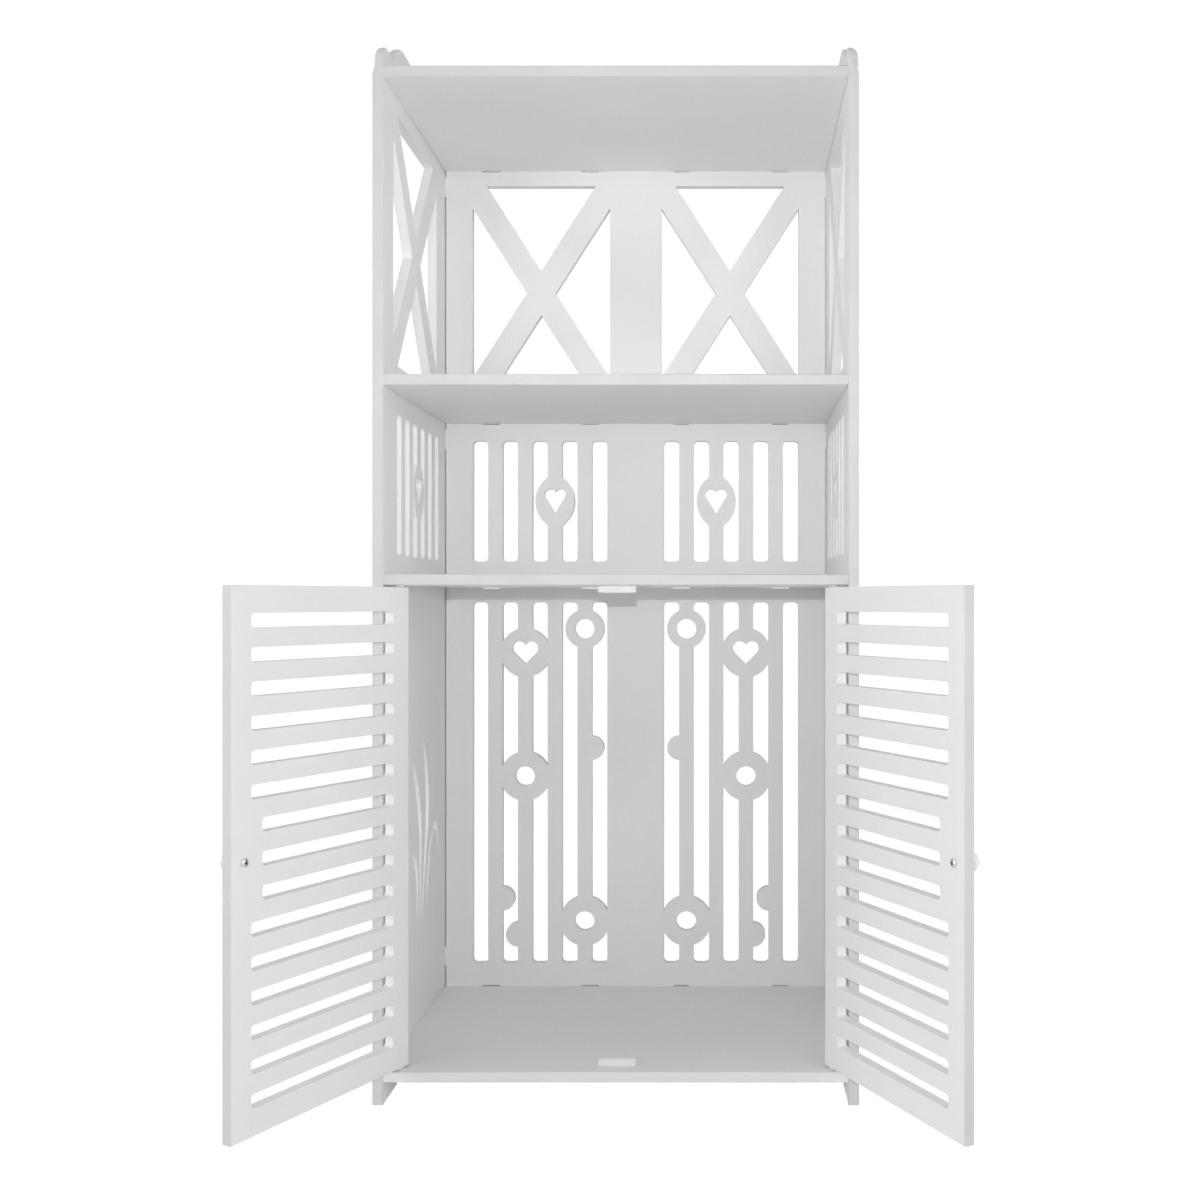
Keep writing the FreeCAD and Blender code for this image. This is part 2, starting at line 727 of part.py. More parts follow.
def door(document, s, label, side):
    """A door in the frame of its pivot axis: it runs along +X, and its faces look along Y."""
    body = new_body(document, label)
    half = s.board / 2
    hinge_edge = -s.pivot_from_edge
    plan = Drawing(body, f"{label}_plan", "XY_Plane", s.door_bottom)
    plan.loop(
        (hinge_edge + half, -half),
        (s.free_edge, -half),
        (s.free_edge, half),
        (hinge_edge + half, half, half, 1),
        (hinge_edge, 0, half, 1),
    )
    pad(body, f"{label}_board", plan.finish(), s.door_top - s.door_bottom)

    count = 2 * s.door_slots_in_bank + s.short_door_slots
    span = s.door_top - s.door_bottom - 2 * s.door_slot_margin - s.door_slot_height
    pitch = span / (count - 1)
    first_low = s.door_bottom + s.door_slot_margin
    short_low = first_low + s.door_slots_in_bank * pitch
    upper_low = short_low + s.short_door_slots * pitch
    banks = (
        ("long", s.free_stile, (first_low, upper_low), s.door_slots_in_bank),
        ("short", s.knob_stile, (short_low,), s.short_door_slots),
    )
    for name, stile, lows, copies in banks:
        slots = Drawing(body, f"{label}_{name}_slot", "XZ_Plane")
        slot_end = s.free_edge - stile
        for low in lows:
            high = low + s.door_slot_height
            slots.rounded(hinge_edge + s.hinge_stile, low, slot_end, high, s.door_slot_round)
        cut = pocket(body, f"{label}_{name}_slot_cut", slots.finish())
        repeat(body, f"{label}_{name}_slots", cut, slots.sketch, "V_Axis", pitch, copies)

    knob_bore = Drawing(body, f"{label}_knob_place", "XZ_Plane")
    knob_bore.circle(s.knob_x, s.knob_z, s.knob_bore_radius)
    pocket(body, f"{label}_knob_bore", knob_bore.finish())
    bore_depth = s.pin_seat + s.bore_end_room
    for end, height, upward in (("lower", s.door_bottom, True), ("upper", s.door_top, False)):
        pin_bore = Drawing(body, f"{label}_{end}_pin_place", "XY_Plane", height)
        pin_bore.circle(0, 0, s.pin_bore_radius)
        pocket(body, f"{label}_{end}_pin_bore", pin_bore.finish(), bore_depth, upward)

    place(body, x=side * s.pivot_x, y=s.front_y + s.pivot_setback)
    turned = -s.open_angle if side < 0 else HALF_TURN + s.open_angle
    body.Placement.Rotation = FreeCAD.Rotation(FreeCAD.Vector(0, 0, 1), turned.value)
    body.setExpression("Placement.Rotation.Angle", turned.text)
    document.recompute()
    return body


def pivot_pin(document, s, label, carrier, upward):
    """A pin that seats in the end of a door, with a collar that keeps the door off the board."""
    body = new_body(document, label)
    profile = Drawing(body, f"{label}_profile", "XZ_Plane")
    profile.loop(
        (0, -s.pin_seat),
        (s.pin_radius, -s.pin_seat),
        (s.pin_radius, 0),
        (s.pin_collar_radius, 0),
        (s.pin_collar_radius, s.door_gap),
        (s.pin_radius, s.door_gap),
        (s.pin_radius, s.door_gap + s.pin_tip),
        (0, s.door_gap + s.pin_tip),
    )
    revolve(body, f"{label}_turned", profile.finish())
    place_on(body, carrier, 0, 0, s.door_top if upward else s.door_bottom, 0 if upward else HALF_TURN)
    return body


def knob(document, s, label, carrier, side):
    """A round knob on the outer face of a door: a foot, a neck and a domed head."""
    body = new_body(document, label)
    profile = Drawing(body, f"{label}_profile", "XZ_Plane")
    bore_end = s.knob_screw_reach + s.bore_end_room
    foot = (s.knob_foot_radius, 0)
    neck = (s.knob_neck_radius, s.knob_neck_height)
    widest = (s.knob_radius, s.knob_widest)
    profile.loop(
        (s.knob_bore_radius, 0),
        (*foot, bow_radius(*foot, *neck, s.knob_foot_hollow), -1),
        (*neck, bow_radius(*neck, *widest, s.knob_head_swell), 1),
        (*widest, cap_radius(s.knob_radius, s.knob_height - s.knob_widest), 1),
        (0, s.knob_height),
        (0, bore_end),
        (s.knob_bore_radius, bore_end),
    )
    revolve(body, f"{label}_turned", profile.finish())
    place_on(body, carrier, s.knob_x, side * s.board / 2, s.knob_z, -side * QUARTER_TURN)
    return body


def knob_screw(document, s, label, carrier, side):
    """The screw that holds a knob: a domed head on the inner face and a shank through the door."""
    body = new_body(document, label)
    profile = Drawing(body, f"{label}_profile", "XZ_Plane")
    dome = s.knob_screw_head_height - s.knob_screw_rim
    dome_arc = cap_radius(s.knob_screw_head_radius, dome)
    shank_end = -(s.board + s.knob_screw_reach)
    profile.loop(
        (0, shank_end),
        (s.knob_screw_radius, shank_end),
        (s.knob_screw_radius, 0),
        (s.knob_screw_head_radius, 0),
        (s.knob_screw_head_radius, s.knob_screw_rim, dome_arc, 1),
        (0, s.knob_screw_head_height),
    )
    revolve(body, f"{label}_turned", profile.finish())
    place_on(body, carrier, s.knob_x, -side * s.board / 2, s.knob_z, side * QUARTER_TURN)
    return body


def panel_screws(document, s, label, side):
    """The eight countersunk screws that hold the four boards to one side panel."""
    body = new_body(document, label)
    shanks = Drawing(body, f"{label}_shank_places", "YZ_Plane")
    screw_circles(shanks, s, s.screw_radius)
    shank = pad(body, f"{label}_shanks", shanks.finish(), s.screw_length)
    shank.Reversed = side > 0
    heads = Drawing(body, f"{label}_head_places", "YZ_Plane")
    screw_circles(heads, s, s.screw_head_radius)
    head_height = s.screw_head_radius - s.screw_radius
    head = pad(body, f"{label}_heads", heads.finish(), head_height, taper=-COUNTERSINK_ANGLE / 2)
    head.Reversed = side > 0
    place(body, x=side * s.cabinet_width / 2, y=s.front_y)
    return body


def door_stop(document, s, label, bottom):
    """A block behind the meeting edges of the closed doors."""
    body = new_body(document, label)
    outline = Drawing(body, f"{label}_outline", "XY_Plane")
    front = s.pivot_setback + s.board / 2 + s.stop_gap
    outline.rectangle(-s.stop_length / 2, front, s.stop_length / 2, front + s.stop_depth)
    pad(body, f"{label}_block", outline.finish(), s.stop_height)
    place(body, y=s.front_y, z=bottom)
    return body


def build(document):
    s = fill_sheet(document)
    derive(s)
    bodies = [
        back_panel(document, s),
        cross_board(document, s, "base_board", s.foot_height, pivot_face=1),
        cross_board(document, s, "lower_shelf", s.lower_shelf_bottom, pivot_face=-1),
        cross_board(document, s, "upper_shelf", s.upper_shelf_bottom),
        cross_board(document, s, "top_board", s.top_board_bottom),
        door_stop(document, s, "lower_door_stop", s.base_top),
        door_stop(document, s, "upper_door_stop", s.lower_shelf_bottom - s.stop_height),
    ]
    for name, side in (("left", -1), ("right", 1)):
        bodies.append(side_panel(document, s, f"{name}_side_panel", side))
        bodies.append(panel_screws(document, s, f"{name}_panel_screws", side))
        leaf = door(document, s, f"{name}_door", side)
        bodies.append(leaf)
        bodies.append(pivot_pin(document, s, f"{name}_door_upper_pin", leaf, upward=True))
        bodies.append(pivot_pin(document, s, f"{name}_door_lower_pin", leaf, upward=False))
        bodies.append(knob(document, s, f"{name}_knob", leaf, side))
        bodies.append(knob_screw(document, s, f"{name}_knob_screw", leaf, side))
    return bodies


def write_parts(document, bodies):
    """Write every piece, once the whole document is known to be sound."""
    document.recompute()
    for item in document.Objects:
        if "Invalid" in item.State or "Error" in item.State:
            raise RuntimeError(f"{item.Label} could not be made")
    for body in bodies:
        if body.Shape.isNull() or not body.Shape.isValid():
            raise RuntimeError(f"{body.Label} has no sound shape")
    os.makedirs("parts", exist_ok=True)
    for body in bodies:
        body.Shape.exportStep(f"parts/{body.Label}.step")


cabinet = FreeCAD.newDocument("louvred_door_cabinet")
write_parts(cabinet, build(cabinet))
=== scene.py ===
"""Louvred door cabinet: the white sheet carcass, its slotted doors and their fittings, in a plain studio.

Metres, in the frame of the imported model: X to the right, Y to the back and Z up from the floor.
"""
import json
import math

import bmesh
import bpy
from mathutils import Matrix, Vector


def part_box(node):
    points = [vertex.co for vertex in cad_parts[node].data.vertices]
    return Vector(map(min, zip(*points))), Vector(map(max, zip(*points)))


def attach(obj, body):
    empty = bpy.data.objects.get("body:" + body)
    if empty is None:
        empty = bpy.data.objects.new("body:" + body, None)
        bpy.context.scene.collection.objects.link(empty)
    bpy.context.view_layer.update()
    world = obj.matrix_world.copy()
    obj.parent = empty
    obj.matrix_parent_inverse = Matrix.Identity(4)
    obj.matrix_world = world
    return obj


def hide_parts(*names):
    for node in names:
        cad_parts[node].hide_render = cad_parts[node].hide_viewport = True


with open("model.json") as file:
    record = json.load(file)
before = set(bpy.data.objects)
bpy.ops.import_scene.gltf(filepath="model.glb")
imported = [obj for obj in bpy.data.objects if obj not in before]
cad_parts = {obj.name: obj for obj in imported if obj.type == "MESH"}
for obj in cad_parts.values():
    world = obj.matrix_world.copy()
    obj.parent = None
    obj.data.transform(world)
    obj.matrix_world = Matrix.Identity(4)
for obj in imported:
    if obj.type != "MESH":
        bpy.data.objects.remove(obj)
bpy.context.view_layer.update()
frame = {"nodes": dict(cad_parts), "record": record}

MM = 0.001
FLAT_LIMIT = math.radians(0.3)
EDGE_LIMIT = math.radians(30)
MERGE_DISTANCE = 0.005 * MM
QUARTER_TURN = math.pi / 2
HALF_TURN = math.pi
FULL_TURN = 2 * math.pi

# Sheet, how its edges are eased, and the room left at its joints
BOARD = 10 * MM
EASED_EDGE = 0.7 * MM
ROUTED_EASE = 0.25 * MM
CREST_EASE = 7.5 * MM
CREST_RUN_OUT = 8 * MM
EASED_STEPS = 5
JOINT_GAP = 0.9 * MM
MORTISE_ROOM = 0.8 * MM
SPAN_SLACK = 0.5 * MM

# Doors
PIVOT_FROM_EDGE = 11 * MM
DOOR_WIDTH = 212.5 * MM
DOOR_BOTTOM = 33 * MM
DOOR_TOP = 479 * MM
HINGE_STILE = 25 * MM
FREE_STILE = 21.7 * MM
KNOB_STILE = 33.3 * MM
SLOT_HEIGHT = 10.2 * MM
SLOT_MARGIN = 23.3 * MM
SLOT_ROUND = 3 * MM
BANK_SLOTS = 6
SHORT_SLOTS = 3
ROUND_STEPS = 10
CUTTER_DEPTH_IN_SHEETS = 3.0

# Pivot pins
PIN_RADIUS = 2.5 * MM
PIN_SEAT = 20 * MM
PIN_TIP = 7 * MM
PIN_COLLAR = 4.5 * MM
PIN_EASE = 0.3 * MM
DOOR_GAP = 2 * MM

# Knobs
KNOB_FROM_EDGE = 13.4 * MM
KNOB_HEIGHT = 13 * MM
KNOB_RADIUS = 8 * MM
KNOB_WIDEST = 8.2 * MM
KNOB_FOOT = 5.6 * MM
KNOB_NECK = 4.4 * MM
KNOB_NECK_HEIGHT = 3.4 * MM
KNOB_FOOT_HOLLOW = 0.6 * MM
KNOB_FLARE_BOW = 1.2 * MM
KNOB_BORE = 2.1 * MM
KNOB_BORE_DEPTH = 7.5 * MM
LATHE_STEPS = 64
ARC_STEPS = 10

# Screws; RECESS_SPAN is the length of a recess as a share of the head's radius
KNOB_SCREW_HEAD = 3.7 * MM
KNOB_SCREW_HEIGHT = 2.2 * MM
KNOB_SCREW_RIM = 1.1 * MM
KNOB_SCREW_SHANK = 2 * MM
KNOB_SCREW_REACH = 17 * MM
PANEL_SCREW_HEAD = 4 * MM
PANEL_SCREW_SHANK = 2 * MM
PANEL_SCREW_LENGTH = 38 * MM
PANEL_SCREW_INSET = 45 * MM
RECESS_SPAN = 1.1
RECESS_WIDTH = 0.9 * MM
RECESS_DEPTH = 1.3 * MM
SCREW_SEED = 4

# Photograph's viewpoint: the camera is level and to the right of the middle
FRAME_PIXELS = 1200
VIEW_X_PIXEL = 725
FOCAL_PIXELS = 1315
CAMERA_X = 101 * MM
CAMERA_HEIGHT = 467 * MM
CAMERA_DISTANCE = 1215 * MM
SENSOR = 36.0

# Studio: a paper sweep under an even sky, in metres, and how bright they are
SWEEP_HALF_WIDTH = 6.0
SWEEP_FRONT = -6.0
SWEEP_BACK = 3.5
SWEEP_HEIGHT = 6.0
COVE_RADIUS = 1.2
COVE_STEPS = 16
PAPER_TONE = 0.85
SHADOW_TONE = 0.22
PAPER_GLOW = 0.97
SKY_LIGHT = 0.41
SKY_SEEN = 1.0

# Lamps, with their power in watts
CABINET_MIDDLE = Vector((0, 0, 0.5))
UPPER_SHELVES = Vector((0, 0.1, 0.8))
LAMPS = {
    "front_lamp": {
        "place": Vector((0.10, -1.30, 0.545)), "aim": CABINET_MIDDLE,
        "size": 0.012, "spread": HALF_TURN, "power": 4.0,
    },
    "shelf_lamp": {
        "place": Vector((0.06, -1.60, 0.66)), "aim": UPPER_SHELVES,
        "size": 0.3, "spread": math.radians(32), "power": 0.12,
    },
    "left_softbox": {
        "place": Vector((-2.4, -1.1, 0.8)), "aim": CABINET_MIDDLE,
        "size": 1.0, "spread": HALF_TURN, "power": 16,
    },
    "right_softbox": {
        "place": Vector((2.4, -1.1, 0.8)), "aim": CABINET_MIDDLE,
        "size": 1.0, "spread": HALF_TURN, "power": 12,
    },
}

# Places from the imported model
left_panel_low, left_panel_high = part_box("left_side_panel")
FRONT_Y = left_panel_low.y
BACK_Y = left_panel_high.y
SIDE_OUTER = abs(left_panel_low.x)
SIDE_INNER = abs(left_panel_high.x)
CREST_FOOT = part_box("top_board")[1].z
SIDES = {"left": -1, "right": 1}
LEVEL_BOARDS = ("base_board", "lower_shelf", "upper_shelf", "top_board")
DOOR_STOPS = ("lower_door_stop", "upper_door_stop")
# The base board and door stops wear the face tone on their cut edges too: painted light that lifts edges
# lying in the open doors' shade
EDGES_WITH_PAINTED_LIGHT = ("base_board", *DOOR_STOPS)


# Node helpers

def add_node(tree, kind, inputs=None, **settings):
    """Add a node, with its settings first and then its inputs, which are values or sockets to link from."""
    node = tree.nodes.new(kind)
    for name, value in settings.items():
        setattr(node, name, value)
    for key, value in (inputs or {}).items():
        if isinstance(value, bpy.types.NodeSocket):
            tree.links.new(value, node.inputs[key])
        else:
            node.inputs[key].default_value = value
    return node


def new_group(name, kind, inputs, outputs):
    """A node group with named sockets; gives the tree, its input node and its output node."""
    tree = bpy.data.node_groups.new(name, kind)
    for label, socket in inputs.items():
        tree.interface.new_socket(label, in_out="INPUT", socket_type=socket)
    for label, socket in outputs.items():
        tree.interface.new_socket(label, in_out="OUTPUT", socket_type=socket)
    return tree, tree.nodes.new("NodeGroupInput").outputs, tree.nodes.new("NodeGroupOutput").inputs


def calculate(tree, operation, first, second=0.0):
    """The result of a Math node on two values or sockets."""
    return add_node(tree, "ShaderNodeMath", {0: first, 1: second}, operation=operation).outputs[0]


# Finishes

DRIFT_DETAIL = 3.0
SPECK_DETAIL = 2.0
GRAIN_DETAIL = 3.0
NOISE_LOW = 0.3
NOISE_HIGH = 0.7
PIT_REACH = 0.35
RELIEF_STRENGTH = 0.6


def sheet_tone_group():
    """Slow drifts of tone across a surface, and fine specks on it, both from 0 to 1."""
    sockets = {
        "Place": "NodeSocketVector",
        "Drift Size": "NodeSocketFloat",
        "Speck Size": "NodeSocketFloat",
    }
    tree, given, result = new_group(
        "sheet_tone", "ShaderNodeTree", sockets, {"Drift": "NodeSocketFloat", "Speck": "NodeSocketFloat"}
    )
    for output, detail in (("Drift", DRIFT_DETAIL), ("Speck", SPECK_DETAIL)):
        scale = calculate(tree, "DIVIDE", 1.0, given[f"{output} Size"])
        noise = add_node(
            tree, "ShaderNodeTexNoise", {"Vector": given["Place"], "Scale": scale, "Detail": detail}
        )
        spread = add_node(
            tree, "ShaderNodeMapRange",
            {"Value": noise.outputs["Fac"], "From Min": NOISE_LOW, "From Max": NOISE_HIGH},
        )
        tree.links.new(spread.outputs["Result"], result[output])
    return tree


def surface_grain_group():
    """The height of a grain that can be drawn out along one direction, with small pits in it."""
    sockets = {
        "Place": "NodeSocketVector",
        "Grain Size": "NodeSocketFloat",
        "Drawn Out": "NodeSocketVector",
        "Pits": "NodeSocketFloat",
    }
    tree, given, result = new_group(
        "surface_grain", "ShaderNodeTree", sockets, {"Height": "NodeSocketFloat"}
    )
    drawn = add_node(
        tree, "ShaderNodeVectorMath", {0: given["Place"], 1: given["Drawn Out"]}, operation="DIVIDE"
    ).outputs[0]
    scale = calculate(tree, "DIVIDE", 1.0, given["Grain Size"])
    ripple = add_node(tree, "ShaderNodeTexNoise", {"Vector": drawn, "Scale": scale, "Detail": GRAIN_DETAIL})
    cells = add_node(tree, "ShaderNodeTexVoronoi", {"Vector": given["Place"], "Scale": scale})
    pits = add_node(
        tree, "ShaderNodeMapRange",
        {"Value": cells.outputs["Distance"], "From Max": PIT_REACH, "To Min": -1.0, "To Max": 0.0},
    )
    deep = calculate(tree, "MULTIPLY", pits.outputs["Result"], given["Pits"])
    tree.links.new(calculate(tree, "ADD", ripple.outputs["Fac"], deep), result["Height"])
    return tree


def finish_material(name, shade, light, drift, speck, rough, grain, drawn_out, pits, relief, **shader):
    """A finish whose colour drifts from shade to light, with specks in its gloss and a grain in its relief.

    Drift, speck and grain are sizes, rough is the lowest and highest roughness, and relief the bump's
    distance. The rest are plain values of the shader's own sockets.
    """
    material = bpy.data.materials.new(name)
    material.use_nodes = True
    tree = material.node_tree
    principled = tree.nodes["Principled BSDF"]
    place = add_node(tree, "ShaderNodeTexCoord").outputs["Object"]
    tone = add_node(
        tree, "ShaderNodeGroup", {"Place": place, "Drift Size": drift, "Speck Size": speck},
        node_tree=SHEET_TONE,
    )
    # The colours of a Mix node are its inputs 6 and 7 and its output 2
    colour = add_node(
        tree, "ShaderNodeMix", {0: tone.outputs["Drift"], 6: (*shade, 1), 7: (*light, 1)}, data_type="RGBA"
    )
    tree.links.new(colour.outputs[2], principled.inputs["Base Color"])
    gloss = add_node(
        tree, "ShaderNodeMapRange", {"Value": tone.outputs["Speck"], "To Min": rough[0], "To Max": rough[1]}
    )
    tree.links.new(gloss.outputs["Result"], principled.inputs["Roughness"])
    height = add_node(
        tree, "ShaderNodeGroup",
        {"Place": place, "Grain Size": grain, "Drawn Out": drawn_out, "Pits": pits},
        node_tree=SURFACE_GRAIN,
    )
    bump = add_node(
        tree, "ShaderNodeBump",
        {"Height": height.outputs["Height"], "Distance": relief, "Strength": RELIEF_STRENGTH},
    )
    tree.links.new(bump.outputs["Normal"], principled.inputs["Normal"])
    for socket, value in shader.items():
        principled.inputs[socket.replace("_", " ")].default_value = value
    return material


SHEET_TONE = sheet_tone_group()
SURFACE_GRAIN = surface_grain_group()
EVEN = (1, 1, 1)
BOARD_FACE = finish_material(
    "board_face", shade=(0.902, 0.897, 0.899), light=(0.928, 0.923, 0.925), drift=140 * MM,
    speck=1.6 * MM, rough=(0.44, 0.58), grain=0.9 * MM, drawn_out=EVEN, pits=0.10, relief=0.05 * MM,
)
BOARD_SAWN = finish_material(
    "board_sawn_edge", shade=(0.715, 0.711, 0.712), light=(0.760, 0.756, 0.757), drift=60 * MM,
    speck=0.8 * MM, rough=(0.50, 0.66), grain=0.5 * MM, drawn_out=(1, 6, 1), pits=0.35, relief=0.06 * MM,
)
# Routed walls: the pale cut surface, painted a little lighter than the faces as painted light for light
# reaching into the cut-outs
BOARD_ROUTED_PAINTED_LIGHT = finish_material(
    "board_routed_wall_painted_light", shade=(0.928, 0.925, 0.926), light=(0.953, 0.950, 0.951), drift=30 * MM,
    speck=0.8 * MM, rough=(0.48, 0.62), grain=0.5 * MM, drawn_out=EVEN, pits=0.25, relief=0.04 * MM,
)
SHEET_FINISHES = [BOARD_FACE, BOARD_SAWN, BOARD_ROUTED_PAINTED_LIGHT]
FACED, SAWN, ROUTED = range(len(SHEET_FINISHES))
KNOB_WHITE = finish_material(
    "knob_moulding", shade=(0.880, 0.880, 0.872), light=(0.910, 0.909, 0.902), drift=6 * MM,
    speck=0.6 * MM, rough=(0.14, 0.24), grain=1.2 * MM, drawn_out=EVEN, pits=0.0, relief=0.02 * MM,
    Coat_Weight=0.3, Coat_Roughness=0.08,
)
PIN_NYLON = finish_material(
    "pin_nylon", shade=(0.79, 0.79, 0.77), light=(0.84, 0.84, 0.82), drift=4 * MM,
    speck=0.5 * MM, rough=(0.38, 0.50), grain=0.4 * MM, drawn_out=(1, 1, 4), pits=0.1, relief=0.02 * MM,
)
SCREW_ZINC = finish_material(
    "screw_zinc", shade=(0.50, 0.51, 0.52), light=(0.68, 0.69, 0.70), drift=1.5 * MM,
    speck=0.25 * MM, rough=(0.24, 0.42), grain=0.2 * MM, drawn_out=(5, 1, 1), pits=0.0, relief=0.02 * MM,
    Metallic=1.0,
)
# Near-black recess walls: painted shade for the dark cross in each screw head
SCREW_RECESS_PAINTED_SHADE = finish_material(
    "screw_recess_painted_shade", shade=(0.04, 0.04, 0.04), light=(0.10, 0.10, 0.10), drift=0.6 * MM,
    speck=0.2 * MM, rough=(0.45, 0.65), grain=0.2 * MM, drawn_out=EVEN, pits=0.1, relief=0.02 * MM,
    Metallic=1.0,
)


# Mesh helpers

def show(name, mesh, body, nodes):
    """Put a finished mesh in the scene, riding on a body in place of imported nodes."""
    piece = bpy.data.objects.new(name, mesh)
    bpy.context.collection.objects.link(piece)
    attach(piece, body)
    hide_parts(*nodes)
    return piece


def span(corners):
    """The lowest and the highest place of some corners."""
    places = [corner.co for corner in corners]
    return [Vector([pick(place[axis] for place in places) for axis in range(3)]) for pick in (min, max)]


def routed_loops(shape):
    """The walls of each cut-out: runs of joined walls that stay inside the outline of the sheet."""
    whole = span(shape.verts)
    waiting = {face for face in shape.faces if face.material_index == SAWN}
    loops = []
    while waiting:
        run = [waiting.pop()]
        for face in run:
            near = {other for edge in face.edges for other in edge.link_faces} & waiting
            waiting -= near
            run.extend(near)
        reach = span({corner for face in run for corner in face.verts})
        if any((mine - full).length > BOARD for mine, full in zip(reach, whole)):
            loops.append(run)
    return loops


def split_edges(shape, height):
    """Put a corner on each edge that passes a height."""
    for edge in list(shape.edges):
        low, high = sorted(edge.verts, key=lambda corner: corner.co.z)
        if low.co.z < height - MERGE_DISTANCE and high.co.z > height + MERGE_DISTANCE:
            bmesh.utils.edge_split(edge, low, (height - low.co.z) / (high.co.z - low.co.z))


def tell_finishes(shape, through):
    """Tell sheet faces, sawn edges and routed walls apart.

    Cut-outs as narrow as the sheet is thick are mortises, and get some room.
    """
    for face in shape.faces:
        face.smooth = True
        face.material_index = SAWN if abs(face.normal.dot(through)) < math.cos(EDGE_LIMIT) else FACED
    across = [axis for axis in range(3) if not through[axis]]
    for loop in routed_loops(shape):
        for face in loop:
            face.material_index = ROUTED
        corners = {corner for face in loop for corner in face.verts}
        low, high = span(corners)
        if min(abs(high[axis] - low[axis] - BOARD) for axis in across) < SPAN_SLACK:
            for corner in corners:
                for axis in across:
                    outward = 1 if corner.co[axis] > (low[axis] + high[axis]) / 2 else -1
                    corner.co[axis] += outward * MORTISE_ROOM


def weigh_edges(shape, through, crest):
    """Mark sharp edges, and how far each edge between two finishes is eased, as a share of CREST_EASE."""
    weight = shape.edges.layers.float.new("bevel_weight_edge")
    for edge in shape.edges:
        turned = edge.calc_face_angle(0) > EDGE_LIMIT
        edge.smooth = not turned
        finishes = {face.material_index for face in edge.link_faces}
        if not turned or len(finishes) < 2:
            continue
        outer = any(face.normal.dot(through) > math.cos(EDGE_LIMIT) for face in edge.link_faces)
        if outer and min(corner.co.z for corner in edge.verts) > crest - MERGE_DISTANCE:
            ease = CREST_EASE
        else:
            ease = ROUTED_EASE if ROUTED in finishes else EASED_EDGE
        edge[weight] = ease / CREST_EASE


def mark_sheet(mesh, through, crest=math.inf):
    """Join a sheet's flat triangles, give its faces their finishes and mark the edges to ease.

    Through points out of the sheet's outer face. The outer edge of a crest, above the height given for it,
    is rounded over.
    """
    mesh.materials.clear()
    for finish in SHEET_FINISHES:
        mesh.materials.append(finish)
    shape = bmesh.new()
    shape.from_mesh(mesh)
    bmesh.ops.remove_doubles(shape, verts=shape.verts, dist=MERGE_DISTANCE)
    bmesh.ops.dissolve_limit(shape, angle_limit=FLAT_LIMIT, verts=shape.verts, edges=shape.edges)
    split_edges(shape, crest - CREST_RUN_OUT)
    split_edges(shape, crest)
    bmesh.ops.triangulate(shape, faces=[face for face in shape.faces if len(face.verts) > 4])
    shape.normal_update()
    tell_finishes(shape, through)
    weigh_edges(shape, through, crest)
    shape.to_mesh(mesh)
    shape.free()


def ease_edges(piece):
    """Ease the edges of a sheet by the weights they were given."""
    ease = piece.modifiers.new("eased_edges", "BEVEL")
    ease.limit_method = "WEIGHT"
    ease.width = CREST_EASE
    ease.segments = EASED_STEPS
    ease.use_clamp_overlap = False
    ease.loop_slide = False
    ease.harden_normals = True


def arc_points(start, end, centre, steps):
    """Points on the shorter arc from start to end about a centre, without the last one."""
    first = math.atan2(start[1] - centre[1], start[0] - centre[0])
    turn = math.atan2(end[1] - centre[1], end[0] - centre[0]) - first
    turn = (turn + HALF_TURN) % FULL_TURN - HALF_TURN
    radius = math.dist(start, centre)
    angles = [first + turn * step / steps for step in range(steps)]
    return [
        (centre[0] + radius * math.cos(angle), centre[1] + radius * math.sin(angle)) for angle in angles
    ]


def bowed(start, end, bow, steps=ARC_STEPS):
    """Points on an arc from start to end, without the last one.

    The arc leaves its chord by bow, to the right where bow is positive.
    """
    chord = math.dist(start, end)
    radius = (chord * chord / 4 + bow * bow) / (2 * abs(bow))
    along = ((end[0] - start[0]) / chord, (end[1] - start[1]) / chord)
    back = math.copysign(radius - abs(bow), bow)
    centre = (
        (start[0] + end[0]) / 2 - along[1] * back,
        (start[1] + end[1]) / 2 + along[0] * back,
    )
    return arc_points(start, end, centre, steps)


def domed(rim, crown, steps=ARC_STEPS):
    """Points on a dome from its rim, a radius and a height, to just short of its crown on the axis."""
    rise = crown - rim[1]
    radius = (rim[0] * rim[0] + rise * rise) / (2 * rise)
    return arc_points(rim, (0, crown), (0, crown - radius), steps)


def lathe(name, profile, material, place=Matrix()):
    """Turn a profile of radii and heights about Z and set the mesh in its place.

    The profile starts and ends on the axis, and keeps the material on its left.
    """
    around = [FULL_TURN * step / LATHE_STEPS for step in range(LATHE_STEPS)]
    shape = bmesh.new()
    rings = []
    for radius, height in profile:
        places = [
            (radius * math.cos(angle), radius * math.sin(angle), height)
            for angle in (around if radius else [0])
        ]
        rings.append([shape.verts.new(corner) for corner in places])
    for low, high in zip(rings, rings[1:]):
        for step in range(LATHE_STEPS):
            low_pair = [low[(step + turn) % len(low)] for turn in (0, 1)]
            high_pair = [high[(step + turn) % len(high)] for turn in (1, 0)]
            shape.faces.new(list(dict.fromkeys(low_pair + high_pair))).smooth = True
    shape.normal_update()
    for edge in shape.edges:
        edge.smooth = edge.calc_face_angle(0) < EDGE_LIMIT
    mesh = bpy.data.meshes.new(name)
    shape.to_mesh(mesh)
    shape.free()
    mesh.transform(place)
    mesh.materials.append(material)
    return mesh


def grow(name, mesh, tree, values):
    """Run a geometry tree on a mesh and give the result as a plain mesh."""
    carrier = bpy.data.objects.new(name, mesh)
    bpy.context.collection.objects.link(carrier)
    modifier = carrier.modifiers.new(name, "NODES")
    modifier.node_group = tree
    for item in tree.interface.items_tree:
        if item.in_out == "INPUT" and item.name in values:
            modifier[item.identifier] = values[item.name]
    evaluated = carrier.evaluated_get(bpy.context.evaluated_depsgraph_get())
    grown = bpy.data.meshes.new_from_object(evaluated)
    bpy.data.objects.remove(carrier)
    return grown


# Carcass

